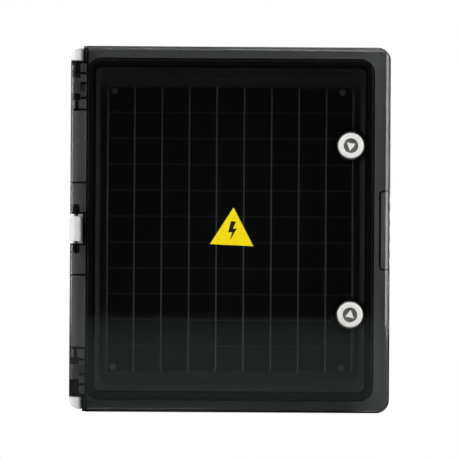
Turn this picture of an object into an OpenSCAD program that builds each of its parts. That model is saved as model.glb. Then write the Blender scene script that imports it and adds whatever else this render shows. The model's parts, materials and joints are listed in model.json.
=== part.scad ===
// Wall-mounted DC combiner box: a light grey moulded base with a gridded mounting plate,
// closed by a smoked one-piece door on four hinge pins and held by two triangle-key locks.
// X is the width with the hinge on the left, the front faces -Y and Z is up.
// The origin is the centre of the back face, on the wall.

/* [Overall] */
// Width over the hinge column and the door
overall_w = 350; // [320:1:460]
// Height of the door
overall_h = 400; // [360:1:520]
// Depth from the wall to the door's front face
overall_d = 180; // [130:1:260]

/* [Door] */
// Thickness of the door's front sheet
door_t = 3; // [2.5:0.1:4]
// Thickness of the skirt that overhangs the base
skirt_t = 2.4; // [2:0.1:2.4]
// Depth of the skirt behind the door's front face
skirt_depth = 30; // [27:1:40]
// Width of the rolled edge round the door's front
edge_roll = 3.4; // [1:0.1:3.4]
// Radius of the door's free corners
door_r = 15; // [8:1:17]
// Width of the hinge column, and of the rim at the free side
rim_x = 17.8; // [17.8:0.1:24]
// Width of the rim at the top and the bottom
rim_z = 13.4; // [12:0.1:18]
// Width of the finger grip in the free edge
grip_w = 12.5; // [10:0.5:13]
// Height of the finger grip
grip_h = 87.5; // [60:1:110]
// Number of finger scallops in the grip
scallops = 5; // [3:1:7]

/* [Seal] */
// Thickness of the ribs that hold the gasket
rib_t = 2; // [1.6:0.1:2.4]
// Depth of those ribs behind the front face
rib_depth = 12; // [10:0.5:13]
// Radius of the outer rib's corners
seal_r = 16; // [12:1:22]
// Width of the gasket
gasket_w = 5.5; // [4.5:0.1:7]
// Thickness of the gasket
gasket_t = 4; // [3:0.1:5]

/* [Base] */
// Wall thickness of the tub
wall_t = 3.2; // [2.5:0.1:4]
// Thickness of the tub's floor
floor_t = 3.5; // [3:0.1:5]
// Thickness of the rim flange
rim_t = 3; // [2.5:0.1:4]
// Depth of the lip behind the rim's front face
lip_depth = 13; // [10:0.5:18]
// Distance from the door's outer edge in to the rim's edge
overhang = 3.5; // [3.5:0.1:6]
// Wall hole spacing across
wall_hole_x = 220; // [120:1:240]
// Wall hole spacing up and down
wall_hole_z = 300; // [240:1:300]
// Radius of the wall holes
wall_hole_r = 3.25; // [2.5:0.05:4]

/* [Hinge] */
// Diameter of the hinge pins
pin_d = 4; // [3:0.1:4.6]
// Radius of the knuckles on the base
knuckle_r = 7; // [6:0.1:7]
// Distance from the front face back to the hinge axis
axis_depth = 8; // [7.5:0.1:9]
// Half height of the middle knuckle
mid_half = 13.5; // [12:0.5:16]
// Height of the corner knuckles
corner_h = 13; // [11:0.5:16]
// Travel of the sliding pins
pin_travel = 8.5; // [7:0.1:8.5]
// Distance from the middle of the door to the seam of the hinge covers
seam_z = 51.5; // [45:0.5:60]

/* [Mounting plate] */
// Width of the plate
plate_w = 286; // [240:1:290]
// Height of the plate
plate_h = 331; // [300:1:335]
// Thickness of the plate
plate_t = 3; // [2:0.1:4]
// Distance from the wall to the plate's front face
plate_level = 33; // [24:1:60]
// Screw spacing across
plate_screw_x = 265; // [220:1:268]
// Screw spacing up and down
plate_screw_z = 320; // [280:1:320]
// Sideways offset of the screw pattern from the middle of the box
plate_screw_off = -2.6; // [-4:0.1:0]
// Grid cells across
cells_x = 9; // [6:1:12]
// Grid cells up and down
cells_z = 11; // [8:1:14]

/* [Locks] */
// Distance from the inner gasket rib in to the lock axes
lock_inset = 16.3; // [16.3:0.1:30]
// Height of the lock axes above and below the middle
lock_z = 92; // [70:1:110]
// Diameter of the lock's front ring
lock_ring_d = 27.4; // [25:0.1:30]
// Diameter of the lock's barrel
lock_barrel_d = 22; // [20:0.1:22]
// Diameter of the well around the triangular post
lock_well_d = 16; // [15.5:0.1:18]
// Clockwise turn of the upper lock in its round hole, in degrees
tilt_upper = 8; // [0:1:12]
// Clockwise turn of the lower lock in its round hole, in degrees
tilt_lower = 10; // [0:1:12]

/* [Label] */
// Length of each side of the triangular label
label_side = 47.5; // [35:0.5:60]
// Clockwise tilt of the label, in degrees
label_tilt = 2.5; // [0:0.5:5]
// Sideways place of the label's middle
label_x = 2.5; // [-40:0.5:40]
// Height of the label's middle
label_z = -3.3; // [-40:0.1:40]

/* [Hidden] */
$fn = 64;

// Clearances: running is radial, between a pin and its bore; part is between separate pieces
running = 0.075;
part = 0.2;
moving = 0.4;
eps = 0.05;

// Planes that cross Y, from the front to the wall
y_front = -overall_d;
y_sheet = y_front + door_t;
y_rib = y_front + rib_depth;
y_axis = y_front + axis_depth;
edge_gap = 0.15;
y_rim = y_axis + 11.5;
y_lip = y_rim + lip_depth;
y_gasket = y_sheet + gasket_t;
y_tongue = y_gasket + 0.3;
y_web_front = y_sheet + 0.2;
y_web_back = y_front + 14;
y_plate = -plate_level;

// Lines that cross X and Z
x_edge = overall_w / 2;
z_edge = overall_h / 2;
x_seal = x_edge - rim_x;
z_seal = z_edge - rim_z;
chan_w = gasket_w + 2 * part;
x_inner = x_seal - rib_t - chan_w;
z_inner = z_seal - rib_t - chan_w;
inner_r = seal_r - rib_t - chan_w;
x_tongue = x_inner + chan_w / 2;
z_tongue = z_inner + chan_w / 2;
tongue_t = 2;
lip_t = 2.5;
rim_r = 12;
cavity_x = x_tongue - tongue_t / 2;
cavity_z = z_tongue - tongue_t / 2;
cavity_r = seal_r - rib_t - chan_w / 2 - tongue_t / 2;
x_rim = x_edge - overhang;
x_rim_left = -x_edge + 2.6;
z_rim = z_edge - overhang;
x_axis = -x_edge + knuckle_r;

// Hinge column heights, measured from the middle of the box
corner_top = z_edge - skirt_t - 1;
corner_low = corner_top - corner_h;
web_top = corner_low - 1;
peg_web = mid_half + 2.5;
web_t = 2.2;
guide_low = web_top - 18;
grip_high = guide_low - 1;
slide_h = 16;
collar_h = 7.5;
collar_low = grip_high - slide_h - collar_h;
guide_web = collar_low - pin_travel - web_t - 0.6;
pin_reach = corner_low + 7.5;
peg_reach = mid_half - 6.5;

// Lock planes and places
lock_x = x_inner - rib_t - lock_inset;
seal_t = 1;
ring_t = 3;
y_ring = y_front - seal_t - ring_t;
y_well = y_front + 7.5;
y_barrel = y_front + 20;
cam_t = 2;
y_cam = y_barrel + 0.5;
cam_len = 17.3;
cam_half = 6;
nut_t = 5.5;
boss_t = 2;
boss_r = 20;
collar_gap = 1.6;
collar_t = 1;
collar_rise = 1.2;
ring_chamfer = 1;
seal_rim = 1.3;
snug = 0.05;
nut_rim = 4.6;
post_r = 5.6;
post_drop = 2.2;
shoulder_t = 1.7;
cam_r = 8;
core_r = 7;
shank_w = 8;

// Fasteners
insert_r = 2.8;
plate_boss_r = 6;
wall_boss_t = 3.75;
wall_boss_h = 5.5;
insert_len = 8;
screw_r = 2;
head_r = 3.8;
head_h = 2.6;
keeper_screw_r = 2;
cam_screw_r = 2.5;

// Small details of the door
notch_gap = 0.8;
notch_t = 1.8;
peg_boss_r = 3.8;
peg_boss_h = 9;
barrel_r = 4;
tail_lug = 3.4;
scallop_r = 36;
scallop_deep = 0.9;
grip_thin = 0.8;
label_t = 0.3;

// Keeper sheet
keeper_t = 1.5;
keeper_w = 24;
keeper_x = lock_x + lock_barrel_d / 2 + 1.3;
keeper_screw_y = y_lip + 4.5;
keeper_foot = 7;
keeper_pitch = 7;

smoke = [0.16, 0.17, 0.18, 0.55];
light_grey = [0.85, 0.86, 0.85];
black = [0.06, 0.06, 0.06];
white = [0.93, 0.93, 0.92];
steel = [0.72, 0.73, 0.75];
zinc = [0.62, 0.64, 0.66];
dark_grey = [0.2, 0.21, 0.22];
brass = [0.75, 0.6, 0.3];
yellow = [0.98, 0.9, 0.05];

// ---------- shared shapes ----------

// Stands a flat X-Z outline up and runs it from y0 back to y1
module along_y(y0, y1) {
    translate([0, y1, 0])
        rotate([90, 0, 0])
            linear_extrude(height = y1 - y0)
                children();
}

// A cylinder along Y with its axis through x, z
module rod_y(r, y0, y1, x = 0, z = 0) {
    translate([x, y1, z])
        rotate([90, 0, 0])
            cylinder(r = r, h = y1 - y0);
}

// A cylinder along Z on the hinge axis
module pin_z(r, z0, z1) {
    translate([x_axis, y_axis, z0])
        cylinder(r = r, h = z1 - z0);
}

// A block given by its two corners
module block(x, y, z) {
    translate([x[0], y[0], z[0]])
        cube([x[1] - x[0], y[1] - y[0], z[1] - z[0]]);
}

// A centred rectangle with round corners
module round_rect(w, h, r) {
    square([w - 2 * r, h], center = true);
    square([w, h - 2 * r], center = true);
    for (sx = [-1, 1], sz = [-1, 1])
        translate([sx * (w / 2 - r), sz * (h / 2 - r)])
            circle(r = r);
}

// The wall of that shape, t thick, inside the outline
module round_ring(w, h, r, t) {
    difference() {
        round_rect(w, h, r);
        round_rect(w - 2 * t, h - 2 * t, r - t);
    }
}

// The door's outline from x0 to x1: square at the hinge side, round at the free side
module door_shape(x0, x1, h, r) {
    translate([x0, -h / 2])
        square([x1 - x0 - r, h]);
    translate([x1 - 2 * r, -h / 2 + r])
        square([2 * r, h - 2 * r]);
    for (sz = [-1, 1])
        translate([x1 - r, sz * (h / 2 - r)])
            circle(r = r);
}

// The rolled edge as points from the front to the side: the distance in from the outline, and Y
roll_deep = 3 * edge_roll;
roll_steps = 4;
roll = [for (i = [0 : roll_steps])
    [edge_roll * (1 - sin(90 * i / roll_steps)), y_front + roll_deep * (1 - cos(90 * i / roll_steps))]];

// The section of the door's envelope: both sides roll towards the front
function rolled(half) = concat(
    [for (p = roll) [p[0] - half, p[1]]],
    [[-half, y_front + skirt_depth], [half, y_front + skirt_depth]],
    [for (i = [roll_steps : -1 : 0]) [half - roll[i][0], roll[i][1]]]
);

// The door's envelope from z = -h / 2 to h / 2, rolled at the left and the right
module rolled_sides(h) {
    translate([0, 0, -h / 2])
        linear_extrude(height = h)
            polygon(rolled(x_edge));
}

// The door's whole envelope, with the edge rolled at all four sides
module door_envelope() {
    intersection() {
        rolled_sides(overall_h);
        translate([-x_edge, 0, 0])
            rotate([90, 0, 90])
                linear_extrude(height = overall_w)
                    polygon([for (p = rolled(z_edge)) [p[1], p[0]]]);
    }
}

// The base rim's outline
module rim_shape(inset = 0) {
    translate([(x_rim + x_rim_left) / 2, 0])
        round_rect(x_rim - x_rim_left - 2 * inset, 2 * (z_rim - inset), rim_r - inset);
}

// Copies a piece of the upper half below the middle as well
module both_halves() {
    children();
    mirror([0, 0, 1])
        children();
}

// The upper piece as modelled for 1, and its mirror image below the middle for -1
module on_side(s) {
    if (s > 0)
        children();
    else
        mirror([0, 0, 1])
            children();
}

// ---------- base ----------

module knuckle(z0, z1) {
    pin_z(knuckle_r, z0, z1);
    block([x_axis - knuckle_r, x_axis + knuckle_r], [y_axis, y_lip], [z0, z1]);
}

// The corner knuckles follow the round corner of the box
module corner_knuckle() {
    intersection() {
        knuckle(corner_low, corner_top);
        along_y(y_front, y_lip)
            round_rect(overall_w, 2 * corner_top, rim_r);
    }
}

// Small webs that tie the rim's lip to the tub, all but at the hinge side
module rim_gussets() {
    half_t = 1;
    for (i = [-2 : 2]) {
        z = i * z_edge / 3;
        block([cavity_x + wall_t - eps, x_rim - lip_t / 2], [y_rim + 1, y_lip], [z - half_t, z + half_t]);
    }
    for (i = [-2 : 2]) {
        x = i * x_edge / 3;
        both_halves()
            block([x - half_t, x + half_t], [y_rim + 1, y_lip], [cavity_z + wall_t - eps, z_rim - lip_t / 2]);
    }
}

// Puts a piece at each of the plate's four screws
module at_plate_screws() {
    for (sx = [-1, 1], sz = [-1, 1])
        translate([plate_screw_off + sx * plate_screw_x / 2, 0, sz * plate_screw_z / 2])
            children();
}

// Puts a piece at each of the four wall holes
module at_wall_holes() {
    for (sx = [-1, 1], sz = [-1, 1])
        translate([sx * wall_hole_x / 2, 0, sz * wall_hole_z / 2])
            children();
}

// Solid blocks outside the side wall that the keepers' screws bite into
module keeper_pads() {
    both_halves()
        block([cavity_x, cavity_x + wall_t + 6],
              [keeper_screw_y - keeper_foot, keeper_screw_y + keeper_foot],
              [lock_z - keeper_w / 2 - 1, lock_z + keeper_w / 2 + 1]);
}

// A hole through the side wall, or a keeper on it, for each of the keeper's two screws
module keeper_holes(r, x0, x1) {
    for (dz = [-keeper_pitch, keeper_pitch])
        translate([x0, keeper_screw_y, lock_z + dz])
            rotate([0, 90, 0])
                cylinder(r = r, h = x1 - x0);
}

module base_tub() {
    color(light_grey)
    difference() {
        union() {
            along_y(y_rim, 0)
                round_ring(2 * (cavity_x + wall_t), 2 * (cavity_z + wall_t), cavity_r + wall_t, wall_t);
            along_y(-floor_t, 0)
                round_rect(2 * (cavity_x + wall_t), 2 * (cavity_z + wall_t), cavity_r + wall_t);
            along_y(y_rim, y_rim + rim_t)
                difference() {
                    rim_shape();
                    round_rect(2 * cavity_x, 2 * cavity_z, cavity_r);
                }
            along_y(y_rim, y_lip)
                difference() {
                    rim_shape();
                    rim_shape(lip_t);
                }
            along_y(y_tongue, y_rim + 1)
                round_ring(2 * (cavity_x + tongue_t), 2 * (cavity_z + tongue_t),
                           cavity_r + tongue_t, tongue_t);
            knuckle(-mid_half, mid_half);
            both_halves()
                corner_knuckle();
            rim_gussets();
            keeper_pads();
            at_plate_screws()
                rod_y(plate_boss_r, y_plate + plate_t, -1);
            at_wall_holes()
                rod_y(wall_hole_r + wall_boss_t, -floor_t - wall_boss_h, -1);
        }
        at_wall_holes()
            rod_y(wall_hole_r, -20, 1);
        at_plate_screws()
            rod_y(insert_r, y_plate + plate_t - 1, y_plate + plate_t + insert_len);
        both_halves() {
            pin_z(pin_d / 2 + running, corner_low - 1, pin_reach + 1);
            pin_z(pin_d / 2 + running, peg_reach - 1, mid_half + 1);
            keeper_holes(keeper_screw_r, cavity_x - 1, cavity_x + 7);
        }
    }
}

module mounting_plate() {
    line_w = 0.8;
    line_d = 0.5;
    pitch_x = plate_w / cells_x;
    pitch_z = plate_h / cells_z;
    color(dark_grey)
    difference() {
        along_y(y_plate, y_plate + plate_t)
            round_rect(plate_w, plate_h, 4);
        for (i = [1 : cells_x - 1])
            translate([-plate_w / 2 + i * pitch_x - line_w / 2, y_plate - 1, -plate_h])
                cube([line_w, 1 + line_d, 2 * plate_h]);
        for (i = [1 : cells_z - 1])
            translate([-plate_w, y_plate - 1, -plate_h / 2 + i * pitch_z - line_w / 2])
                cube([2 * plate_w, 1 + line_d, line_w]);
        at_plate_screws()
            rod_y(screw_r + 0.4, y_plate - 1, 0);
    }
}

// A pan head screw along Y with a cross recess: its head seats on the plane y0
module pan_screw(r, head, head_tall, length, y0) {
    difference() {
        union() {
            rod_y(head, y0 - head_tall * 0.6, y0);
            translate([0, y0 - head_tall * 0.6, 0])
                rotate([90, 0, 0])
                    cylinder(r1 = head, r2 = head * 0.7, h = head_tall * 0.4);
            rod_y(r, y0 - 0.5, y0 + length);
        }
        for (a = [0, 90])
            rotate([0, a, 0])
                translate([-head * 0.6, y0 - head_tall - 1, -head * 0.11])
                    cube([head * 1.2, 1 + head_tall * 0.7, head * 0.22]);
    }
}

module plate_screws() {
    color(steel)
        at_plate_screws()
            pan_screw(screw_r, head_r, head_h, plate_t + insert_len - 1, y_plate);
}

module plate_inserts() {
    y_mouth = y_plate + plate_t;
    color(brass)
        at_plate_screws()
            difference() {
                rod_y(insert_r, y_mouth, y_mouth + insert_len);
                rod_y(screw_r + 0.05, y_mouth - 1, y_mouth + insert_len + 1);
            }
}

// An angle of steel sheet on the tub's side wall: the cam turns in behind its ledge
module keeper(s) {
    wall = cavity_x;
    ledge = y_cam - moving;
    span = [lock_z - keeper_w / 2, lock_z + keeper_w / 2];
    color(zinc)
    on_side(s)
        difference() {
            union() {
                block([keeper_x, wall], [ledge - keeper_t, ledge], span);
                block([wall - keeper_t, wall], [ledge - keeper_t, keeper_screw_y + keeper_foot], span);
            }
            keeper_holes(keeper_screw_r + 0.3, wall - keeper_t - 1, wall + 1);
        }
}

module keeper_screws() {
    color(steel)
    both_halves()
        for (dz = [-keeper_pitch, keeper_pitch])
            translate([cavity_x - keeper_t, keeper_screw_y, lock_z + dz])
                rotate([0, 0, 90])
                    mirror([0, 1, 0])
                        pan_screw(keeper_screw_r - 0.1, 3.6, 2.2, 7, 0);
}

// ---------- door ----------

// The hinge strip's front and its outer wall, between two heights
module hinge_strip(z0, z1, right) {
    block([-x_edge, right], [y_front, y_web_front], [z0, z1]);
    block([-x_edge, -x_edge + skirt_t], [y_front, y_web_back], [z0, z1]);
}

// A web across the hinge strip, with the axis running through it
module hinge_web(z0, z1) {
    block([-x_edge + skirt_t + part, -x_seal + eps], [y_web_front, y_web_back], [z0, z1]);
}

// The wall and narrow sheet beside a knuckle, which close the cut-out that the knuckle sits in
module knuckle_notch(z0, z1) {
    notch_x = x_axis + knuckle_r + notch_gap;
    block([notch_x, notch_x + notch_t], [y_front, y_web_back], [z0, z1]);
    block([notch_x, -x_seal + eps], [y_front, y_web_front], [z0, z1]);
}

// The upper half of the hinge column: the strip near the middle, its webs and the pins' barrels
module hinge_half() {
    barrel_web = guide_low + 4;
    lug_x = x_axis + 4.5;
    knuckle_notch(-eps, peg_web + eps);
    knuckle_notch(web_top - eps, z_edge - 1);
    hinge_strip(peg_web, seam_z, -x_seal + eps);
    block([-x_edge + eps, -x_seal + eps], [y_front + eps, y_web_back], [peg_web, peg_web + web_t]);
    pin_z(peg_boss_r, peg_web, peg_web + peg_boss_h);
    pin_z(barrel_r, guide_low, web_top);
    for (z = [seam_z - web_t, web_top - web_t])
        hinge_web(z, z + web_t);
    block([x_axis - tail_lug, -x_seal + eps], [y_web_front, y_axis + tail_lug], [guide_web, guide_web + web_t]);
    block([x_axis, -x_seal + eps], [y_web_front, y_axis + 3], [barrel_web, barrel_web + web_t]);
    for (z = [grip_high - 6, grip_high - slide_h - 6])
        block([lug_x, -x_seal + eps], [y_web_front, y_axis + 0.5], [z, z + web_t]);
}

// A C-shaped rib round the finger grip, open towards the free edge
module grip_rib() {
    along_y(y_sheet - eps, y_rib)
        intersection() {
            translate([x_edge, 0])
                round_ring(2 * grip_w, grip_h, 4.5, rib_t);
            translate([x_edge - grip_w, -grip_h])
                square([grip_w - skirt_t / 2, 2 * grip_h]);
        }
}

// Thick pads round the lock holes: the inner one stops at the inner rib, clear of the gasket
module lock_bosses() {
    both_halves() {
        intersection() {
            rod_y(boss_r, y_sheet - eps, y_sheet + boss_t, lock_x, lock_z);
            along_y(y_front, y_rib)
                round_rect(2 * x_inner, 2 * z_inner, inner_r);
        }
    }
}

// The door as moulded, before its edge is rolled and its holes are cut
module door_solid() {
    along_y(y_front, y_sheet)
        door_shape(-x_seal, x_edge, overall_h, door_r);
    along_y(y_front, y_front + skirt_depth)
        difference() {
            door_shape(-x_seal, x_edge, overall_h, door_r);
            door_shape(-x_seal - 1, x_edge - skirt_t, overall_h - 2 * skirt_t, door_r - skirt_t);
        }
    block([-x_seal, -x_seal + rib_t], [y_front, y_web_back], [-z_edge + 1, z_edge - 1]);
    along_y(y_sheet - eps, y_rib)
        round_ring(2 * x_seal, 2 * z_seal, seal_r, rib_t);
    along_y(y_sheet - eps, y_rib)
        round_ring(2 * x_inner, 2 * z_inner, inner_r, rib_t);
    both_halves()
        hinge_half();
    grip_rib();
    lock_bosses();
}

module door_panel() {
    pitch = (grip_h - 4) / scallops;
    color(smoke)
    difference() {
        union() {
            intersection() {
                door_envelope();
                door_solid();
            }
            both_halves()
                rod_y(lock_ring_d / 2 + collar_gap + collar_t, y_front - collar_rise, y_front + eps,
                      lock_x, lock_z);
        }
        both_halves() {
            rod_y(lock_barrel_d / 2 + part, y_front - 5, y_sheet + 10, lock_x, lock_z);
            rod_y(lock_ring_d / 2 + collar_gap, y_front - 5, y_front, lock_x, lock_z);
            pin_z(pin_d / 2 + running, peg_web - 5, peg_web + peg_boss_h + 4);
            pin_z(pin_d / 2 + running, guide_web - 5, web_top + 5);
        }
        // The sheet is thinner inside the grip, and the skirt has a scallop for each finger
        along_y(y_sheet - grip_thin, y_sheet + eps)
            translate([x_edge - grip_w + rib_t, -grip_h / 2 + rib_t])
                square([grip_w - rib_t - skirt_t, grip_h - 2 * rib_t]);
        for (i = [0 : scallops - 1])
            rod_y(scallop_r, y_front - 1, y_front + skirt_depth + 1,
                  x_edge + scallop_r - scallop_deep, (i - (scallops - 1) / 2) * pitch);
    }
}

module door_gasket() {
    color(black)
        along_y(y_sheet, y_gasket)
            round_ring(2 * (x_seal - rib_t - part), 2 * (z_seal - rib_t - part),
                       seal_r - rib_t - part, gasket_w);
}

module hinge_cover(s) {
    color(smoke)
    on_side(s)
        intersection() {
            rolled_sides(2 * web_top);
            hinge_strip(seam_z + edge_gap, web_top, -x_seal - edge_gap);
        }
}

module hinge_peg(s) {
    color(black)
    on_side(s) {
        pin_z(pin_d / 2, peg_reach, peg_web + peg_boss_h + 2);
        pin_z(pin_d / 2 + 1, peg_web + peg_boss_h + part, peg_web + peg_boss_h + 2);
    }
}

module slide_pin(s) {
    taper = 0.8;
    color(black)
    on_side(s) {
        pin_z(pin_d / 2, guide_web - 0.5, pin_reach - taper);
        translate([x_axis, y_axis, pin_reach - taper])
            cylinder(r1 = pin_d / 2, r2 = pin_d / 2 - taper, h = taper);
        pin_z(pin_d / 2 + 1.9, collar_low, collar_low + collar_h);
    }
}

module slide_grip(s) {
    z0 = collar_low + collar_h;
    half_w = 3.3;
    half_d = 3.6;
    tab_x = 8.2;
    tab_y = [1.6, 5.6];
    tab_inset = 3;
    color(light_grey)
    on_side(s)
        difference() {
            union() {
                block([x_axis - half_w, x_axis + half_w], [y_axis - half_d, y_axis + half_d], [z0, z0 + slide_h]);
                block([x_axis + half_w - eps, x_axis + tab_x], [y_axis + tab_y[0], y_axis + tab_y[1]],
                      [z0 + tab_inset, z0 + slide_h - tab_inset]);
            }
            pin_z(pin_d / 2, z0 - 1, z0 + slide_h + 1);
        }
}

// ---------- locks ----------

// Turns a piece with its lock: the upper cam hangs down and the lower one stands up at rest
module at_lock(s) {
    translate([lock_x, 0, s * lock_z])
        rotate([0, s > 0 ? tilt_upper : 180 + tilt_lower, 0])
            children();
}

module lock_housing(s) {
    color(white)
    at_lock(s)
        difference() {
            union() {
                rod_y(lock_ring_d / 2, y_ring + ring_chamfer, y_front - seal_t);
                translate([0, y_ring + ring_chamfer, 0])
                    rotate([90, 0, 0])
                        cylinder(r1 = lock_ring_d / 2, r2 = lock_ring_d / 2 - ring_chamfer, h = ring_chamfer);
                rod_y(lock_barrel_d / 2, y_front - seal_t - eps, y_barrel);
            }
            rod_y(lock_well_d / 2, y_ring - 1, y_well);
            rod_y(core_r, y_ring, y_barrel + 1);
        }
}

module lock_seal(s) {
    color(black)
    at_lock(s)
        difference() {
            rod_y(lock_ring_d / 2 + seal_rim, y_front - seal_t, y_front);
            rod_y(lock_barrel_d / 2 + snug, y_front - seal_t - 1, y_front + 1);
        }
}

module lock_nut(s) {
    color(white)
    at_lock(s)
        difference() {
            translate([0, y_sheet + boss_t + nut_t, 0])
                rotate([90, 0, 0])
                    cylinder(r = lock_barrel_d / 2 + nut_rim, h = nut_t, $fn = 6);
            rod_y(lock_barrel_d / 2 + snug, y_sheet, y_sheet + boss_t + nut_t + 1);
        }
}

// The triangular post points the same way as the cam
module lock_core(s) {
    color(white)
    at_lock(s)
        difference() {
            union() {
                along_y(y_ring + post_drop, y_well)
                    rotate([0, 0, -90])
                        circle(r = post_r, $fn = 3);
                rod_y(lock_well_d / 2 - 0.3, y_well - shoulder_t, y_well - part);
                rod_y(core_r - running, y_well - 1, y_barrel + 0.3);
                block([-shank_w / 2, shank_w / 2], [y_barrel, y_cam + cam_t], [-shank_w / 2, shank_w / 2]);
            }
            rod_y(cam_screw_r + 0.03, y_cam - 8, y_cam + cam_t + 1);
        }
}

module lock_cam(s) {
    color(zinc)
    at_lock(s)
        along_y(y_cam, y_cam + cam_t)
            difference() {
                union() {
                    circle(r = cam_r);
                    translate([-cam_half, -cam_len + cam_half])
                        square([2 * cam_half, cam_len - cam_half]);
                    translate([0, -cam_len + cam_half])
                        circle(r = cam_half);
                }
                square([shank_w + 0.1, shank_w + 0.1], center = true);
            }
}

module lock_cam_screw(s) {
    color(steel)
    at_lock(s)
        mirror([0, 1, 0])
            pan_screw(cam_screw_r, 5.2, 3, 7, -y_cam - cam_t);
}

// ---------- label ----------

module triangle(side) {
    rotate([0, 0, 90])
        circle(r = side / sqrt(3), $fn = 3);
}

// A plain zigzag flash, sized from the label
module flash() {
    u = label_side / 10;
    polygon([
        [-0.45 * u, 2.6 * u], [0.75 * u, 2.6 * u], [0.1 * u, 0.9 * u], [1.0 * u, 1.0 * u],
        [-0.5 * u, -1.9 * u], [-0.05 * u, 0.1 * u], [-0.95 * u, 0.0 * u]
    ]);
}

module at_label() {
    translate([label_x, 0, label_z])
        rotate([0, label_tilt, 0])
            along_y(y_front - label_t, y_front)
                children();
}

module label_sheet() {
    color(yellow)
        at_label()
            difference() {
                triangle(label_side);
                flash();
            }
}

module label_sign() {
    color(black)
        at_label()
            flash();
}

base_tub();
mounting_plate();
plate_screws();
plate_inserts();
keeper(1);  // keeper_upper
keeper(-1);  // keeper_lower
keeper_screws();
door_panel();
door_gasket();
hinge_cover(1);  // hinge_cover_upper
hinge_cover(-1);  // hinge_cover_lower
hinge_peg(1);  // hinge_peg_upper
hinge_peg(-1);  // hinge_peg_lower
slide_pin(1);  // slide_pin_top
slide_grip(1);  // slide_grip_top
slide_pin(-1);  // slide_pin_bottom
slide_grip(-1);  // slide_grip_bottom
lock_housing(1);  // lock_housing_upper
lock_seal(1);  // lock_seal_upper
lock_nut(1);  // lock_nut_upper
lock_core(1);  // lock_core_upper
lock_cam(1);  // lock_cam_upper
lock_cam_screw(1);  // lock_cam_screw_upper
lock_housing(-1);  // lock_housing_lower
lock_seal(-1);  // lock_seal_lower
lock_nut(-1);  // lock_nut_lower
lock_core(-1);  // lock_core_lower
lock_cam(-1);  // lock_cam_lower
lock_cam_screw(-1);  // lock_cam_screw_lower
label_sheet();
label_sign();
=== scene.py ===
"""The looks of a wall-mounted DC combiner box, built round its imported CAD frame.

The base, the smoked door and the small hardware take their places and sizes from the frame. Each
sub-assembly is a class that models its pieces and dresses them, and each finish is a small class
named for the real material.
"""

import json
import logging
import math
from dataclasses import dataclass
from enum import Enum
from typing import Any, Optional, Sequence

import bmesh
import bpy
from bmesh.types import BMEdge, BMesh
from bpy.types import Material, Node, NodeSocket, NodeTree, Object
from mathutils import Matrix, Vector


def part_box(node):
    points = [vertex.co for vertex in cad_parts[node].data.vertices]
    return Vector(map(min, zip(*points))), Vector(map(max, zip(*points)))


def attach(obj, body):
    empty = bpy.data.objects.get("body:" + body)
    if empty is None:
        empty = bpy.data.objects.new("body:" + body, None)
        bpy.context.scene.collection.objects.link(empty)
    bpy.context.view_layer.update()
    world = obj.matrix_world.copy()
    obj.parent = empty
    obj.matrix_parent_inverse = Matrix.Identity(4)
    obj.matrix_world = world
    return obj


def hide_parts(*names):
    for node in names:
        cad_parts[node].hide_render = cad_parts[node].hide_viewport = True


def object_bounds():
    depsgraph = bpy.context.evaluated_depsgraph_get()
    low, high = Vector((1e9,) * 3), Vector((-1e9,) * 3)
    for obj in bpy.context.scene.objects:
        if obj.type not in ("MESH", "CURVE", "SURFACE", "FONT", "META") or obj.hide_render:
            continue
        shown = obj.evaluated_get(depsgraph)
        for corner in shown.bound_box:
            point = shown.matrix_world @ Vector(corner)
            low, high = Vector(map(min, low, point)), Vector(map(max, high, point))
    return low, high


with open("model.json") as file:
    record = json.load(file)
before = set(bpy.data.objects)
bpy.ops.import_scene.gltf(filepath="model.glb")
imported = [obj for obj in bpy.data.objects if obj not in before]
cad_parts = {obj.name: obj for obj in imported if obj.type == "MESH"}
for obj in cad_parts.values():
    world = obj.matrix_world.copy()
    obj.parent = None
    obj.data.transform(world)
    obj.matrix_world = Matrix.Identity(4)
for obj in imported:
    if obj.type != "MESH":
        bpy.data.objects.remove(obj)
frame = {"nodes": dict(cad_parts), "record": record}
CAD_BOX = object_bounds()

LOG = logging.getLogger("combiner_box")
MM = 0.001
WELD_MM = 0.002
FLAT_DEG = 0.5
BEHAVIOUR: dict[str, Any] = frame["record"]["behaviour"]
BODY_OF: dict[str, str] = {n: body for body, ns in BEHAVIOUR["bodies"].items() for n in ns}
SLOT_OF: dict[str, str] = {s["node"]: s["material_slot"] for s in frame["record"]["subparts"]}


class Half(Enum):
    """Which half of the box a mirrored piece is in."""

    UPPER = 1
    LOWER = -1

    @property
    def word(self) -> str:
        """The half's word in node names."""
        return self.name.lower()

    @property
    def end(self) -> str:
        """The word that the sliding pins use."""
        return "top" if self is Half.UPPER else "bottom"


# ---------- nodes and colours ----------


def linear(hex_colour: str) -> tuple[float, float, float, float]:
    """Turns an sRGB hex colour into the linear colour that shaders take.

    Args:
        hex_colour: Six hex digits after a hash sign.

    Returns:
        Red, green, blue and an alpha of 1.
    """
    channels = [int(hex_colour[i : i + 2], 16) / 255 for i in (1, 3, 5)]
    red, green, blue = (c / 12.92 if c <= 0.04045 else ((c + 0.055) / 1.055) ** 2.4 for c in channels)
    return (red, green, blue, 1.0)


def add_node(tree: NodeTree, kind: str, inputs: Optional[dict[Any, Any]] = None, **settings: Any) -> Node:
    """Adds a node with its settings, its socket values and its links.

    Args:
        tree: The tree that gets the node.
        kind: The node's type name.
        inputs: A value for each named or numbered input, or the output that is linked into it.
        settings: The node's own properties.

    Returns:
        The new node.
    """
    node = tree.nodes.new(kind)
    for name, value in settings.items():
        setattr(node, name, value)
    for key, value in (inputs or {}).items():
        if isinstance(value, NodeSocket):
            tree.links.new(value, node.inputs[key])
        else:
            node.inputs[key].default_value = value
    return node


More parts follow.
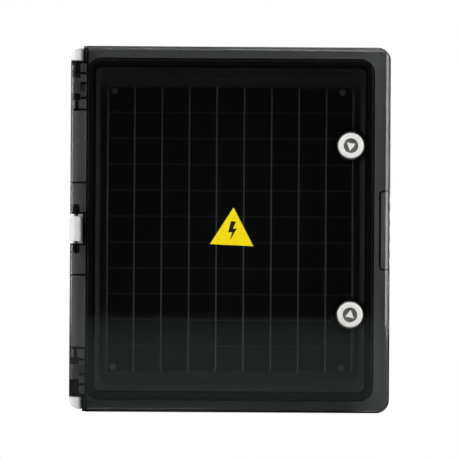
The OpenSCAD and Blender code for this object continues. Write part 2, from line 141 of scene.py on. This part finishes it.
def noise(
    tree: NodeTree, size_mm: float, detail: float = 2.0, stretch: Sequence[float] = (1, 1, 1)
) -> NodeSocket:
    """A noise whose blotches are about size_mm across on the piece.

    Args:
        tree: The material's tree.
        size_mm: The width of a blotch.
        detail: Octaves of finer noise.
        stretch: How many times finer the noise is along each axis.

    Returns:
        The noise's factor, about 0.5 in the mean.
    """
    place = add_node(tree, "ShaderNodeTexCoord").outputs["Object"]
    stretched = add_node(tree, "ShaderNodeMapping", {"Vector": place, "Scale": tuple(stretch)})
    return add_node(
        tree,
        "ShaderNodeTexNoise",
        {"Vector": stretched.outputs[0], "Scale": 1 / (size_mm * MM), "Detail": detail},
    ).outputs[0]


def spread(tree: NodeTree, value: NodeSocket, low: float, high: float) -> NodeSocket:
    """Maps the middle of a noise's range to low..high."""
    return add_node(
        tree,
        "ShaderNodeMapRange",
        {0: value, "From Min": 0.3, "From Max": 0.7, "To Min": low, "To Max": high},
    ).outputs[0]


def blend(tree: NodeTree, share: Any, first: Any, second: Any) -> NodeSocket:
    """Mixes two colours by a share.

    Args:
        tree: The material's tree.
        share: How much of the second colour shows, as a number or an output.
        first: The first colour or output.
        second: The second colour or output.

    Returns:
        The mixed colour.
    """
    mix = add_node(tree, "ShaderNodeMix", data_type="RGBA")
    for socket, value in ((mix.inputs[0], share), (mix.inputs[6], first), (mix.inputs[7], second)):
        if isinstance(value, NodeSocket):
            tree.links.new(value, socket)
        else:
            socket.default_value = value
    return mix.outputs[2]


def calculate(tree: NodeTree, operation: str, first: Any, second: Any = 0.0) -> NodeSocket:
    """One step of arithmetic on numbers or outputs."""
    return add_node(tree, "ShaderNodeMath", {0: first, 1: second}, operation=operation).outputs[0]


# ---------- finishes ----------


@dataclass(frozen=True)
class Finish:
    """A real material: its name, and the nodes that give its look."""

    name: str

    def surface(self, tree: NodeTree) -> NodeSocket:
        """Builds the surface shader and returns its output."""
        raise NotImplementedError

    def inside(self, tree: NodeTree) -> Optional[NodeSocket]:
        """Builds the shader of the solid's inside, if it has one."""
        return None

    def make(self) -> Material:
        """Builds the material.

        Returns:
            The new material.
        """
        material = bpy.data.materials.new(self.name)
        material.use_nodes = True
        tree = material.node_tree
        tree.nodes.clear()
        outputs = {"Surface": self.surface(tree)}
        volume = self.inside(tree)
        if volume is not None:
            outputs["Volume"] = volume
        add_node(tree, "ShaderNodeOutputMaterial", outputs)
        return material


@dataclass(frozen=True)
class MouldedPlastic(Finish):
    """Injection-moulded plastic: a spark-eroded grain, faint flow mottling and a satin sheen."""

    colour: str
    roughness: float
    grain_mm: float
    relief_mm: float
    mottle: str
    ior: float = 1.53

    def surface(self, tree: NodeTree) -> NodeSocket:
        """Grain in the bump, mottling in the colour and a drifting roughness.

        Args:
            tree: The material's tree.

        Returns:
            The shader's output.
        """
        grain = noise(tree, self.grain_mm, 3)
        flow = noise(tree, 45, 2)
        bump = add_node(
            tree, "ShaderNodeBump", {"Height": grain, "Strength": 0.6, "Distance": self.relief_mm * MM}
        )
        colour = blend(tree, spread(tree, flow, 0, 1), linear(self.colour), linear(self.mottle))
        speckle = blend(tree, spread(tree, grain, 0, 0.12), colour, linear(self.mottle))
        rough = spread(tree, noise(tree, 9, 2), self.roughness - 0.04, self.roughness + 0.05)
        return add_node(
            tree,
            "ShaderNodeBsdfPrincipled",
            {"Base Color": speckle, "Roughness": rough, "IOR": self.ior, "Normal": bump.outputs[0]},
        ).outputs[0]


@dataclass(frozen=True)
class DippedCasting(Finish):
    """A white lock core with painted shade: grey from a set depth behind the tip of its post down to the
    floor of the well.
    """

    colour: str
    casting: str
    roughness: float
    dip_mm: float = 4.6
    fade_mm: float = 0.4
    ragged_mm: float = 0.6

    def surface(self, tree: NodeTree) -> NodeSocket:
        """The painted shade's line on the depth, with a slightly uneven edge, over a grainy surface.

        Args:
            tree: The material's tree.

        Returns:
            The shader's output.
        """
        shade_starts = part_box("lock_core_upper")[0][1] + self.dip_mm * MM
        place = add_node(tree, "ShaderNodeTexCoord").outputs["Object"]
        depth = add_node(tree, "ShaderNodeSeparateXYZ", {0: place}).outputs[1]
        grain = noise(tree, 0.9, 3)
        ragged = calculate(tree, "MULTIPLY", grain, self.ragged_mm * MM)
        line = calculate(tree, "ADD", depth, ragged)
        # Painted shade: the colour turns grey from a set depth behind the tip, as shadow in the well
        in_shade = add_node(
            tree,
            "ShaderNodeMapRange",
            {0: line, "From Min": shade_starts, "From Max": shade_starts + self.fade_mm * MM},
        ).outputs[0]
        bump = add_node(tree, "ShaderNodeBump", {"Height": grain, "Strength": 0.5, "Distance": 0.02 * MM})
        rough = spread(tree, grain, self.roughness - 0.04, self.roughness + 0.08)
        return add_node(
            tree,
            "ShaderNodeBsdfPrincipled",
            {
                "Base Color": blend(tree, in_shade, linear(self.colour), linear(self.casting)),
                "Roughness": rough,
                "Normal": bump.outputs[0],
            },
        ).outputs[0]


@dataclass(frozen=True)
class SmokedPolycarbonate(Finish):
    """Moulded clear polycarbonate with a smoke grey dye: glossy faces, and dark where it is deep."""

    dye: str
    density: float
    polish: float
    wave_mm: float
    ior: float = 1.58
    straight_on: float = 0.051

    def surface(self, tree: NodeTree) -> NodeSocket:
        """A mirror that grows towards grazing angles, over clear plastic that bends the view.

        Args:
            tree: The material's tree.

        Returns:
            The shader's output.
        """
        wave = noise(tree, 60, 1)
        bump = add_node(
            tree, "ShaderNodeBump", {"Height": wave, "Strength": 0.5, "Distance": self.wave_mm * MM}
        )
        haze = spread(tree, noise(tree, 14, 3), self.polish * 0.7, self.polish * 1.5)
        facing = add_node(tree, "ShaderNodeLayerWeight", {"Blend": 0.5}).outputs["Facing"]
        # Schlick's curve: 5% of the light mirrors straight on, and all of it at grazing angles
        share = add_node(
            tree,
            "ShaderNodeMapRange",
            {0: calculate(tree, "POWER", facing, 5.0), "To Min": self.straight_on, "To Max": 1.0},
        ).outputs[0]
        bent = add_node(
            tree, "ShaderNodeBsdfRefraction", {"Color": (1, 1, 1, 1), "Roughness": 0.0, "IOR": self.ior}
        )
        straight = add_node(tree, "ShaderNodeBsdfTransparent", {"Color": (1, 1, 1, 1)})
        # Lamps shine straight through, so that the inside is lit
        shadow = add_node(tree, "ShaderNodeLightPath").outputs["Is Shadow Ray"]
        clear = add_node(tree, "ShaderNodeMixShader", {0: shadow, 1: bent.outputs[0], 2: straight.outputs[0]})
        mirror = add_node(
            tree,
            "ShaderNodeBsdfAnisotropic",
            {"Color": (1, 1, 1, 1), "Roughness": haze, "Normal": bump.outputs[0]},
        )
        return add_node(
            tree, "ShaderNodeMixShader", {0: share, 1: clear.outputs[0], 2: mirror.outputs[0]}
        ).outputs[0]

    def inside(self, tree: NodeTree) -> NodeSocket:
        """Dye that takes light away along its way through the plastic."""
        return add_node(
            tree, "ShaderNodeVolumeAbsorption", {"Color": linear(self.dye), "Density": self.density}
        ).outputs[0]


@dataclass(frozen=True)
class PlatedSteel(Finish):
    """Zinc-plated steel: a bluish metal with crystal blotches and fine rolling lines."""

    colour: str
    shade: str
    roughness: float
    metal: float = 1.0

    def surface(self, tree: NodeTree) -> NodeSocket:
        """Blotches in the colour, and lines along the sheet in the bump.

        Args:
            tree: The material's tree.

        Returns:
            The shader's output.
        """
        blotch = noise(tree, 3, 3)
        lines = noise(tree, 0.6, 2, (1, 1, 12))
        bump = add_node(tree, "ShaderNodeBump", {"Height": lines, "Strength": 0.35, "Distance": 0.01 * MM})
        colour = blend(tree, spread(tree, blotch, 0, 1), linear(self.colour), linear(self.shade))
        rough = spread(tree, blotch, self.roughness - 0.06, self.roughness + 0.1)
        return add_node(
            tree,
            "ShaderNodeBsdfPrincipled",
            {"Base Color": colour, "Metallic": self.metal, "Roughness": rough, "Normal": bump.outputs[0]},
        ).outputs[0]


@dataclass(frozen=True)
class FoamRubber(Finish):
    """Foamed-in-place gasket: black, matt, and pitted with fine cells."""

    colour: str
    pale: str
    cell_mm: float

    def surface(self, tree: NodeTree) -> NodeSocket:
        """Cells in the bump and a dusty sheen.

        Args:
            tree: The material's tree.

        Returns:
            The shader's output.
        """
        place = add_node(tree, "ShaderNodeTexCoord").outputs["Object"]
        cells = add_node(tree, "ShaderNodeTexVoronoi", {"Vector": place, "Scale": 1 / (self.cell_mm * MM)})
        bump = add_node(
            tree, "ShaderNodeBump", {"Height": cells.outputs[0], "Strength": 0.5, "Distance": 0.15 * MM}
        )
        colour = blend(tree, spread(tree, noise(tree, 6), 0, 1), linear(self.colour), linear(self.pale))
        return add_node(
            tree,
            "ShaderNodeBsdfPrincipled",
            {"Base Color": colour, "Roughness": 0.85, "Normal": bump.outputs[0], "Sheen Weight": 0.15},
        ).outputs[0]


@dataclass(frozen=True)
class ScribedPlate(Finish):
    """Dark moulded sheet whose scribed grid and cut edges show pale where the skin is gone; its upright lines
    are painted brighter than the level ones, a painted highlight of the side light.
    """

    colour: str
    mottle: str
    upright: str
    level: str
    line_mm: float
    cells: tuple[int, int]

    def line_mask(self, tree: NodeTree, place: NodeSocket, low: float, high: float, count: int) -> NodeSocket:
        """A mask that is 1 on the lines across one direction and along both ends of it.

        Args:
            tree: The material's tree.
            place: The place along the direction.
            low: Where the plate starts.
            high: Where it ends.
            count: How many cells lie between.

        Returns:
            The mask.
        """
        half = self.line_mm * MM / 2
        masks = []
        for period, reach in (((high - low) / count / 2, half), ((high - low) / 2, half * 2)):
            shifted = calculate(tree, "SUBTRACT", place, low)
            masks.append(
                add_node(
                    tree,
                    "ShaderNodeMapRange",
                    {
                        0: calculate(tree, "PINGPONG", shifted, period),
                        "From Min": reach * 0.8,
                        "From Max": reach * 1.2,
                        "To Min": 1.0,
                        "To Max": 0.0,
                    },
                ).outputs[0]
            )
        return calculate(tree, "MAXIMUM", masks[0], masks[1])

    def surface(self, tree: NodeTree) -> NodeSocket:
        """The grid's lines from the plate's own width and height, on a leathery matt skin.

        Args:
            tree: The material's tree.

        Returns:
            The shader's output.
        """
        low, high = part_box("mounting_plate")
        place = add_node(tree, "ShaderNodeTexCoord").outputs["Object"]
        axes = add_node(tree, "ShaderNodeSeparateXYZ", {0: place})
        upright = self.line_mask(tree, axes.outputs[0], low[0], high[0], self.cells[0])
        level = self.line_mask(tree, axes.outputs[2], low[2], high[2], self.cells[1])
        skin = noise(tree, 1.4, 3)
        bump = add_node(tree, "ShaderNodeBump", {"Height": skin, "Strength": 0.5, "Distance": 0.05 * MM})
        base = blend(tree, spread(tree, noise(tree, 30), 0, 1), linear(self.colour), linear(self.mottle))
        # Painted highlight: the upright lines are near white and the level lines grey, as if only the upright
        # groove walls caught the side light
        colour = blend(tree, upright, blend(tree, level, base, linear(self.level)), linear(self.upright))
        rough = spread(tree, skin, 0.5, 0.62)
        return add_node(
            tree,
            "ShaderNodeBsdfPrincipled",
            {"Base Color": colour, "Roughness": rough, "Normal": bump.outputs[0]},
        ).outputs[0]


@dataclass(frozen=True)
class PrintedFilm(Finish):
    """Vinyl label film: even printed colour under a satin laminate with slight orange peel."""

    colour: str
    shade: str

    def surface(self, tree: NodeTree) -> NodeSocket:
        """Ink mottling and a thin clear coat.

        Args:
            tree: The material's tree.

        Returns:
            The shader's output.
        """
        peel = noise(tree, 1.2, 2)
        bump = add_node(tree, "ShaderNodeBump", {"Height": peel, "Strength": 0.3, "Distance": 0.01 * MM})
        colour = blend(tree, spread(tree, noise(tree, 5), 0, 1), linear(self.colour), linear(self.shade))
        return add_node(
            tree,
            "ShaderNodeBsdfPrincipled",
            {
                "Base Color": colour,
                "Roughness": spread(tree, peel, 0.3, 0.38),
                "Normal": bump.outputs[0],
                "Coat Weight": 0.3,
                "Coat Roughness": 0.12,
            },
        ).outputs[0]


FINISHES: dict[str, Finish] = {
    # Light grey ABS moulding: the fine spark grain breaks up its highlights
    "base_plastic": MouldedPlastic("light_grey_abs", "#d5d6d5", 0.42, 1.1, 0.02, "#cfd0cf"),
    # Smoke-dyed polycarbonate: black along its ribs and lighter where one sheet is seen
    "smoked_plastic": SmokedPolycarbonate("smoked_polycarbonate", "#56595e", 470.0, 0.02, 0.01),
    # Foamed polyurethane: the soft black line that the tongue presses into
    "seal_rubber": FoamRubber("foamed_polyurethane", "#47484a", "#505254", 0.9),
    # Phenolic-like dark sheet with a scribed grid for drilling
    "plate_plastic": ScribedPlate(
        "scribed_dark_sheet",
        colour="#323539",
        mottle="#2c2f33",
        # Upright lines painted near white: a painted highlight of the side light
        upright="#fafbfa",
        level="#74777a",
        line_mm=1.6,
        cells=(9, 11),
    ),
    # White polyamide: the locks' bright rings, with a soft waxy sheen
    "lock_plastic": MouldedPlastic("white_polyamide", "#e9e9e4", 0.36, 0.8, 0.01, "#e0e0db"),
    # White lock core with painted shade: grey on the floor of the well round the post, which stays white at
    # its tip
    "core_casting": DippedCasting("dipped_zinc_casting", "#e9e9e4", "#aeb0b0", 0.45),
    # Light grey polyamide: the sliders show as pale blocks behind the smoked hinge covers
    "slider_plastic": MouldedPlastic("light_grey_polyamide", "#cfd1cf", 0.4, 0.8, 0.015, "#c7cac8"),
    # Black acetal: slippery dark hinge pins
    "pin_plastic": MouldedPlastic("black_acetal", "#101012", 0.33, 0.7, 0.01, "#17171a"),
    # Zinc-plated sheet and screws: a cool grey metal with crystal blotches
    "zinc_steel": PlatedSteel("zinc_plated_sheet", "#b4b8bd", "#979ba1", 0.32),
    "screw_steel": PlatedSteel("passivated_zinc_screws", "#f4f5f6", "#e3e5e7", 0.5, 0.15),
    # Brass inserts: plain turned metal, dulled by handling
    "insert_brass": PlatedSteel("turned_brass", "#c9a45c", "#a98541", 0.3),
    # Vinyl label: even yellow ink with a black print, under a satin laminate
    "label_yellow": PrintedFilm("yellow_vinyl_film", "#fbe200", "#f5db00"),
    "label_black": PrintedFilm("black_print", "#0a0a0a", "#111111"),
}
MATERIALS: dict[str, Material] = {}


def material_of(slot: str) -> Material:
    """The material of a slot, made when it is first asked for.

    Args:
        slot: The slot's name in the record.

    Returns:
        The slot's material.
    """
    if slot not in MATERIALS:
        MATERIALS[slot] = FINISHES[slot].make()
    return MATERIALS[slot]


# ---------- shaping ----------


def merged_copy(node: str) -> BMesh:
    """A welded copy of a CAD node's mesh, with its flat triangles joined into whole faces.

    Args:
        node: The CAD node.

    Returns:
        The copy, as a closed mesh.
    """
    shape = bmesh.new()
    shape.from_mesh(frame["nodes"][node].data)
    bmesh.ops.remove_doubles(shape, verts=shape.verts[:], dist=WELD_MM * MM)
    bmesh.ops.dissolve_limit(
        shape, angle_limit=math.radians(FLAT_DEG), verts=shape.verts[:], edges=shape.edges[:]
    )
    return shape


def sharp_edges(shape: BMesh, angle: float = 35.0) -> list[BMEdge]:
    """The edges where two faces meet at more than an angle in degrees."""
    limit = math.radians(angle)
    return [e for e in shape.edges if len(e.link_faces) == 2 and e.calc_face_angle(0.0) > limit]


def soften(shape: BMesh, radius_mm: float, segments: int = 2) -> None:
    """Rounds a shape's sharp edges.

    Args:
        shape: The shape, changed in place.
        radius_mm: The width of the rounding.
        segments: How many faces it has across.
    """
    edges = sharp_edges(shape)
    bmesh.ops.bevel(
        shape,
        geom=edges,
        offset=radius_mm * MM,
        offset_type="OFFSET",
        segments=segments,
        profile=0.5,
        affect="EDGES",
        clamp_overlap=True,
        material=-1,
    )


def stand_in(shape: BMesh, node: str, smooth: float = 32.0) -> Object:
    """Makes a shape the finished piece that shows in place of a CAD node.

    Args:
        shape: The shape, in metres in the frame; it is freed.
        node: The CAD node that the piece stands for.
        smooth: Edges sharper than this many degrees stay crisp.

    Returns:
        The finished object.
    """
    mesh = bpy.data.meshes.new("vis_" + node)
    shape.to_mesh(mesh)
    shape.free()
    for polygon in mesh.polygons:
        polygon.use_smooth = True
    mesh.set_sharp_from_angle(angle=math.radians(smooth))
    slot = SLOT_OF[node]
    mesh.materials.append(material_of(slot))
    piece = bpy.data.objects.new("vis_" + node, mesh)
    bpy.context.scene.collection.objects.link(piece)
    # Weighted by area, so that large flat faces stay optically flat next to their rounded edges
    flatten = piece.modifiers.new("flat_faces", "WEIGHTED_NORMAL")
    flatten.keep_sharp = True
    flatten.weight = 100
    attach(piece, BODY_OF[node])
    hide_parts(node)
    LOG.info("%s: %d faces, rides on %s", piece.name, len(mesh.polygons), BODY_OF[node])
    return piece


# ---------- sub-assemblies ----------


@dataclass
class Cabinet:
    """The moulded base with its plate, inserts, keepers and screws."""

    edge_mm: float = 0.5
    plate_edge_mm: float = 0.3
    metal_edge_mm: float = 0.2

    def build(self) -> None:
        """Models each piece from its CAD node, with its edges as the mould or the tool leaves them."""
        for node, radius in (
            ("base_tub", self.edge_mm),
            ("mounting_plate", self.plate_edge_mm),
            ("plate_screws", self.metal_edge_mm),
            ("plate_inserts", self.metal_edge_mm),
            ("keeper_upper", self.metal_edge_mm),
            ("keeper_lower", self.metal_edge_mm),
            ("keeper_screws", self.metal_edge_mm),
        ):
            shape = merged_copy(node)
            soften(shape, radius)
            stand_in(shape, node)


@dataclass
class Door:
    """The smoked door with its gasket, hinge covers, pegs and label."""

    roll_mm: float = 3.4
    roll_deep_mm: float = 10.2
    corner_mm: float = 15.0
    flats: int = 4
    fine: int = 2
    edge_mm: float = 0.5
    gasket_edge_mm: float = 1.4
    peg_edge_mm: float = 0.25
    label_edge_mm: float = 0.05

    def roll_in(self, depth_mm: float) -> float:
        """How far in from the outline the rolled edge lies at a depth, along the flats of the CAD.

        Args:
            depth_mm: The depth behind the door's front face.

        Returns:
            The distance in mm.
        """
        turns = [math.radians(90 * i / self.flats) for i in range(self.flats + 1)]
        points = [
            (self.roll_deep_mm * (1 - math.cos(t)), self.roll_mm * (1 - math.sin(t))) for t in turns
        ]
        for (near, inner), (far, outer) in zip(points, points[1:]):
            if depth_mm <= far:
                return inner + (outer - inner) * max(depth_mm - near, 0.0) / (far - near)
        return 0.0

    def round_corners(self, shape: BMesh) -> None:
        """Carries the rolled edge round the two free corners, where the CAD leaves it out.

        Args:
            shape: The door's shape, changed in place.
        """
        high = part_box("door_panel")[1]
        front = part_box("label_sheet")[1][1]
        for i in range(1, self.flats * self.fine + 1):
            depth = self.roll_deep_mm * (1 - math.cos(math.radians(90 * i / self.flats / self.fine)))
            bmesh.ops.bisect_plane(
                shape,
                geom=shape.verts[:] + shape.edges[:] + shape.faces[:],
                dist=0.001 * MM,
                plane_co=(0, front + depth * MM, 0),
                plane_no=(0, 1, 0),
            )
        centre_x = high[0] - self.corner_mm * MM
        centre_z = high[2] - self.corner_mm * MM
        for vert in shape.verts:
            away = Vector((vert.co.x - centre_x, abs(vert.co.z) - centre_z))
            limit = (self.corner_mm - self.roll_in((vert.co.y - front) / MM)) * MM
            if min(away) > 0 and away.length > limit:
                away *= limit / away.length
                vert.co.x = centre_x + away[0]
                vert.co.z = math.copysign(centre_z + away[1], vert.co.z)

    def build(self) -> None:
        """Models the door and what is fixed to it."""
        for node in ("door_panel", "hinge_cover_upper", "hinge_cover_lower"):
            shape = merged_copy(node)
            if node == "door_panel":
                self.round_corners(shape)
            soften(shape, self.edge_mm)
            stand_in(shape, node, smooth=40.0)
        for node, radius, segments in (
            ("door_gasket", self.gasket_edge_mm, 4),
            ("hinge_peg_upper", self.peg_edge_mm, 2),
            ("hinge_peg_lower", self.peg_edge_mm, 2),
            ("label_sheet", self.label_edge_mm, 1),
            ("label_sign", self.label_edge_mm, 1),
        ):
            shape = merged_copy(node)
            soften(shape, radius, segments)
            stand_in(shape, node)


@dataclass
class SlidingPin:
    """One of the two hinge pins that slide back to free the door."""

    half: Half
    edge_mm: float = 0.3

    def build(self) -> None:
        """Models the pin and the grip moulded on it."""
        for node in (f"slide_pin_{self.half.end}", f"slide_grip_{self.half.end}"):
            shape = merged_copy(node)
            soften(shape, self.edge_mm)
            stand_in(shape, node)


@dataclass
class TriangleLock:
    """A quarter-turn lock: housing, seal, nut, core with its triangular post, cam and screw."""

    half: Half
    edge_mm: float = 0.4
    seal_edge_mm: float = 0.2

    def build(self) -> None:
        """Models the lock's pieces."""
        for kind in ("housing", "seal", "nut", "core", "cam", "cam_screw"):
            node = f"lock_{kind}_{self.half.word}"
            shape = merged_copy(node)
            soften(shape, self.seal_edge_mm if kind == "seal" else self.edge_mm)
            stand_in(shape, node)


# ---------- studio ----------


@dataclass(frozen=True)
class Softbox:
    """A rectangular soft light that faces the box."""

    name: str
    place: tuple[float, float, float]
    size: tuple[float, float]
    power: float

    def build(self, target: Vector) -> None:
        """Hangs the light and turns it to the target.

        Args:
            target: The place that it faces.
        """
        light = bpy.data.lights.new(self.name, "AREA")
        light.shape = "RECTANGLE"
        light.size, light.size_y = self.size
        light.energy = self.power
        holder = bpy.data.objects.new(self.name, light)
        holder.location = self.place
        holder.rotation_euler = (target - Vector(self.place)).to_track_quat("-Z", "Y").to_euler()
        bpy.context.scene.collection.objects.link(holder)


@dataclass
class Studio:
    """A pale table, a white background and soft lights, with the camera straight in front."""

    distance: float = 2.2
    view_width: float = 0.5006
    roll_deg: float = 0.35
    aim: tuple[float, float] = (0.0, -0.0005)
    table_half: tuple[float, float] = (3.0, 2.45)
    table_gap: float = 0.001
    shade_from: float = 0.12
    shade_to: float = 0.02
    dark_room: float = 0.035
    bright_wall: float = 0.9
    mirrored_share: float = 0.5

    def camera(self) -> None:
        """Sets the camera square to the door, at the height of its middle."""
        low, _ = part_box("door_panel")
        data = bpy.data.cameras.new("camera")
        data.sensor_width = 36.0
        data.lens = data.sensor_width * self.distance / self.view_width
        data.clip_end = 50.0
        camera = bpy.data.objects.new("camera", data)
        camera.location = (self.aim[0], low[1] - self.distance, self.aim[1])
        camera.rotation_euler = (math.radians(90), math.radians(-self.roll_deg), 0)
        bpy.context.scene.collection.objects.link(camera)
        bpy.context.scene.camera = camera

    def table(self) -> None:
        """Lays the pale table that the box stands on."""
        low = CAD_BOX[0]
        shape = bmesh.new()
        bmesh.ops.create_grid(shape, x_segments=1, y_segments=1, size=1.0)
        span = Matrix.Diagonal((*self.table_half, 1.0, 1.0))
        shift = Matrix.Translation((0.0, low[1], low[2] - self.table_gap))
        bmesh.ops.transform(shape, matrix=shift @ span, verts=shape.verts[:])
        mesh = bpy.data.meshes.new("table")
        shape.to_mesh(mesh)
        shape.free()
        material = bpy.data.materials.new("pale_table")
        material.use_nodes = True
        tree = material.node_tree
        tree.nodes.clear()
        place = add_node(tree, "ShaderNodeTexCoord").outputs["Object"]
        depth = add_node(tree, "ShaderNodeSeparateXYZ", {0: place}).outputs[1]
        under = add_node(
            tree,
            "ShaderNodeMapRange",
            {0: depth, "From Min": low[1] - self.shade_from, "From Max": low[1] - self.shade_to},
        ).outputs[0]
        path = add_node(tree, "ShaderNodeLightPath")
        # Painted light and shade on the table: paler under the box, as a pool of light on the bottom rim, and
        # dark there for glossy rays, a painted dark reflection in the rolled edge
        mirrored = calculate(tree, "MULTIPLY", under, path.outputs["Is Glossy Ray"])
        painted_table_light = blend(tree, under, linear("#7a7e7e"), linear("#b0b4b4"))
        painted_table_light = blend(tree, mirrored, painted_table_light, linear("#1c1e1e"))
        matt = add_node(tree, "ShaderNodeBsdfDiffuse", {"Color": painted_table_light})
        glow = add_node(tree, "ShaderNodeEmission", {"Color": (1, 1, 1, 1), "Strength": 1.0})
        seen = path.outputs["Is Camera Ray"]
        both = add_node(tree, "ShaderNodeMixShader", {0: seen, 1: matt.outputs[0], 2: glow.outputs[0]})
        add_node(tree, "ShaderNodeOutputMaterial", {"Surface": both.outputs[0]})
        mesh.materials.append(material)
        table = bpy.data.objects.new("table", mesh)
        bpy.context.scene.collection.objects.link(table)

    def background(self) -> None:
        """White behind the box and dark behind the camera, so that the flat door mirrors a dark room."""
        world = bpy.data.worlds.new("studio")
        world.use_nodes = True
        tree = world.node_tree
        tree.nodes.clear()
        place = add_node(tree, "ShaderNodeTexCoord").outputs["Generated"]
        depth = add_node(tree, "ShaderNodeSeparateXYZ", {0: place}).outputs[1]
        behind = add_node(
            tree,
            "ShaderNodeMapRange",
            {
                0: depth,
                "From Min": -0.1,
                "From Max": 0.35,
                "To Min": self.dark_room,
                "To Max": self.bright_wall,
            },
        ).outputs[0]
        path = add_node(tree, "ShaderNodeLightPath")
        # Mirrored at less than its strength, so that the rolled edge stands out from the white
        mirrored = add_node(
            tree,
            "ShaderNodeMapRange",
            {0: path.outputs["Is Glossy Ray"], "To Min": 1.0, "To Max": self.mirrored_share},
        ).outputs[0]
        dimmed = calculate(tree, "MULTIPLY", behind, mirrored)
        strength = add_node(
            tree, "ShaderNodeMapRange", {0: path.outputs["Is Camera Ray"], "To Min": dimmed, "To Max": 1.0}
        ).outputs[0]
        sky = add_node(tree, "ShaderNodeBackground", {"Color": (1, 1, 1, 1), "Strength": strength})
        add_node(tree, "ShaderNodeOutputWorld", {"Surface": sky.outputs[0]})
        bpy.context.scene.world = world

    def lights(self) -> None:
        """Two tall softboxes in front, two panels at the sides and a softbox overhead."""
        target = Vector((0.0, -0.1, 0.0))
        for box in (
            Softbox("left_softbox", (-1.6, -1.6, 0.15), (0.9, 1.6), 25.0),
            Softbox("right_softbox", (1.6, -1.6, 0.15), (0.9, 1.6), 25.0),
            Softbox("left_panel", (-1.7, -0.5, 0.1), (1.1, 1.8), 26.0),
            Softbox("right_panel", (1.7, -0.5, 0.1), (1.1, 1.8), 26.0),
            Softbox("top_softbox", (0.0, -1.2, 1.7), (2.0, 0.8), 15.0),
        ):
            box.build(target)

    def build(self) -> None:
        """Sets the camera, the table, the background and the lights."""
        self.camera()
        self.table()
        self.background()
        self.lights()
        scene = bpy.context.scene
        scene.view_settings.view_transform = "Standard"
        scene.view_settings.look = "None"


def main() -> None:
    """Builds the studio and every sub-assembly in order."""
    logging.basicConfig(level=logging.INFO, format="%(name)s: %(message)s")
    Studio().build()
    Cabinet().build()
    Door().build()
    for half in Half:
        SlidingPin(half).build()
        TriangleLock(half).build()


if __name__ == "__main__":
    main()
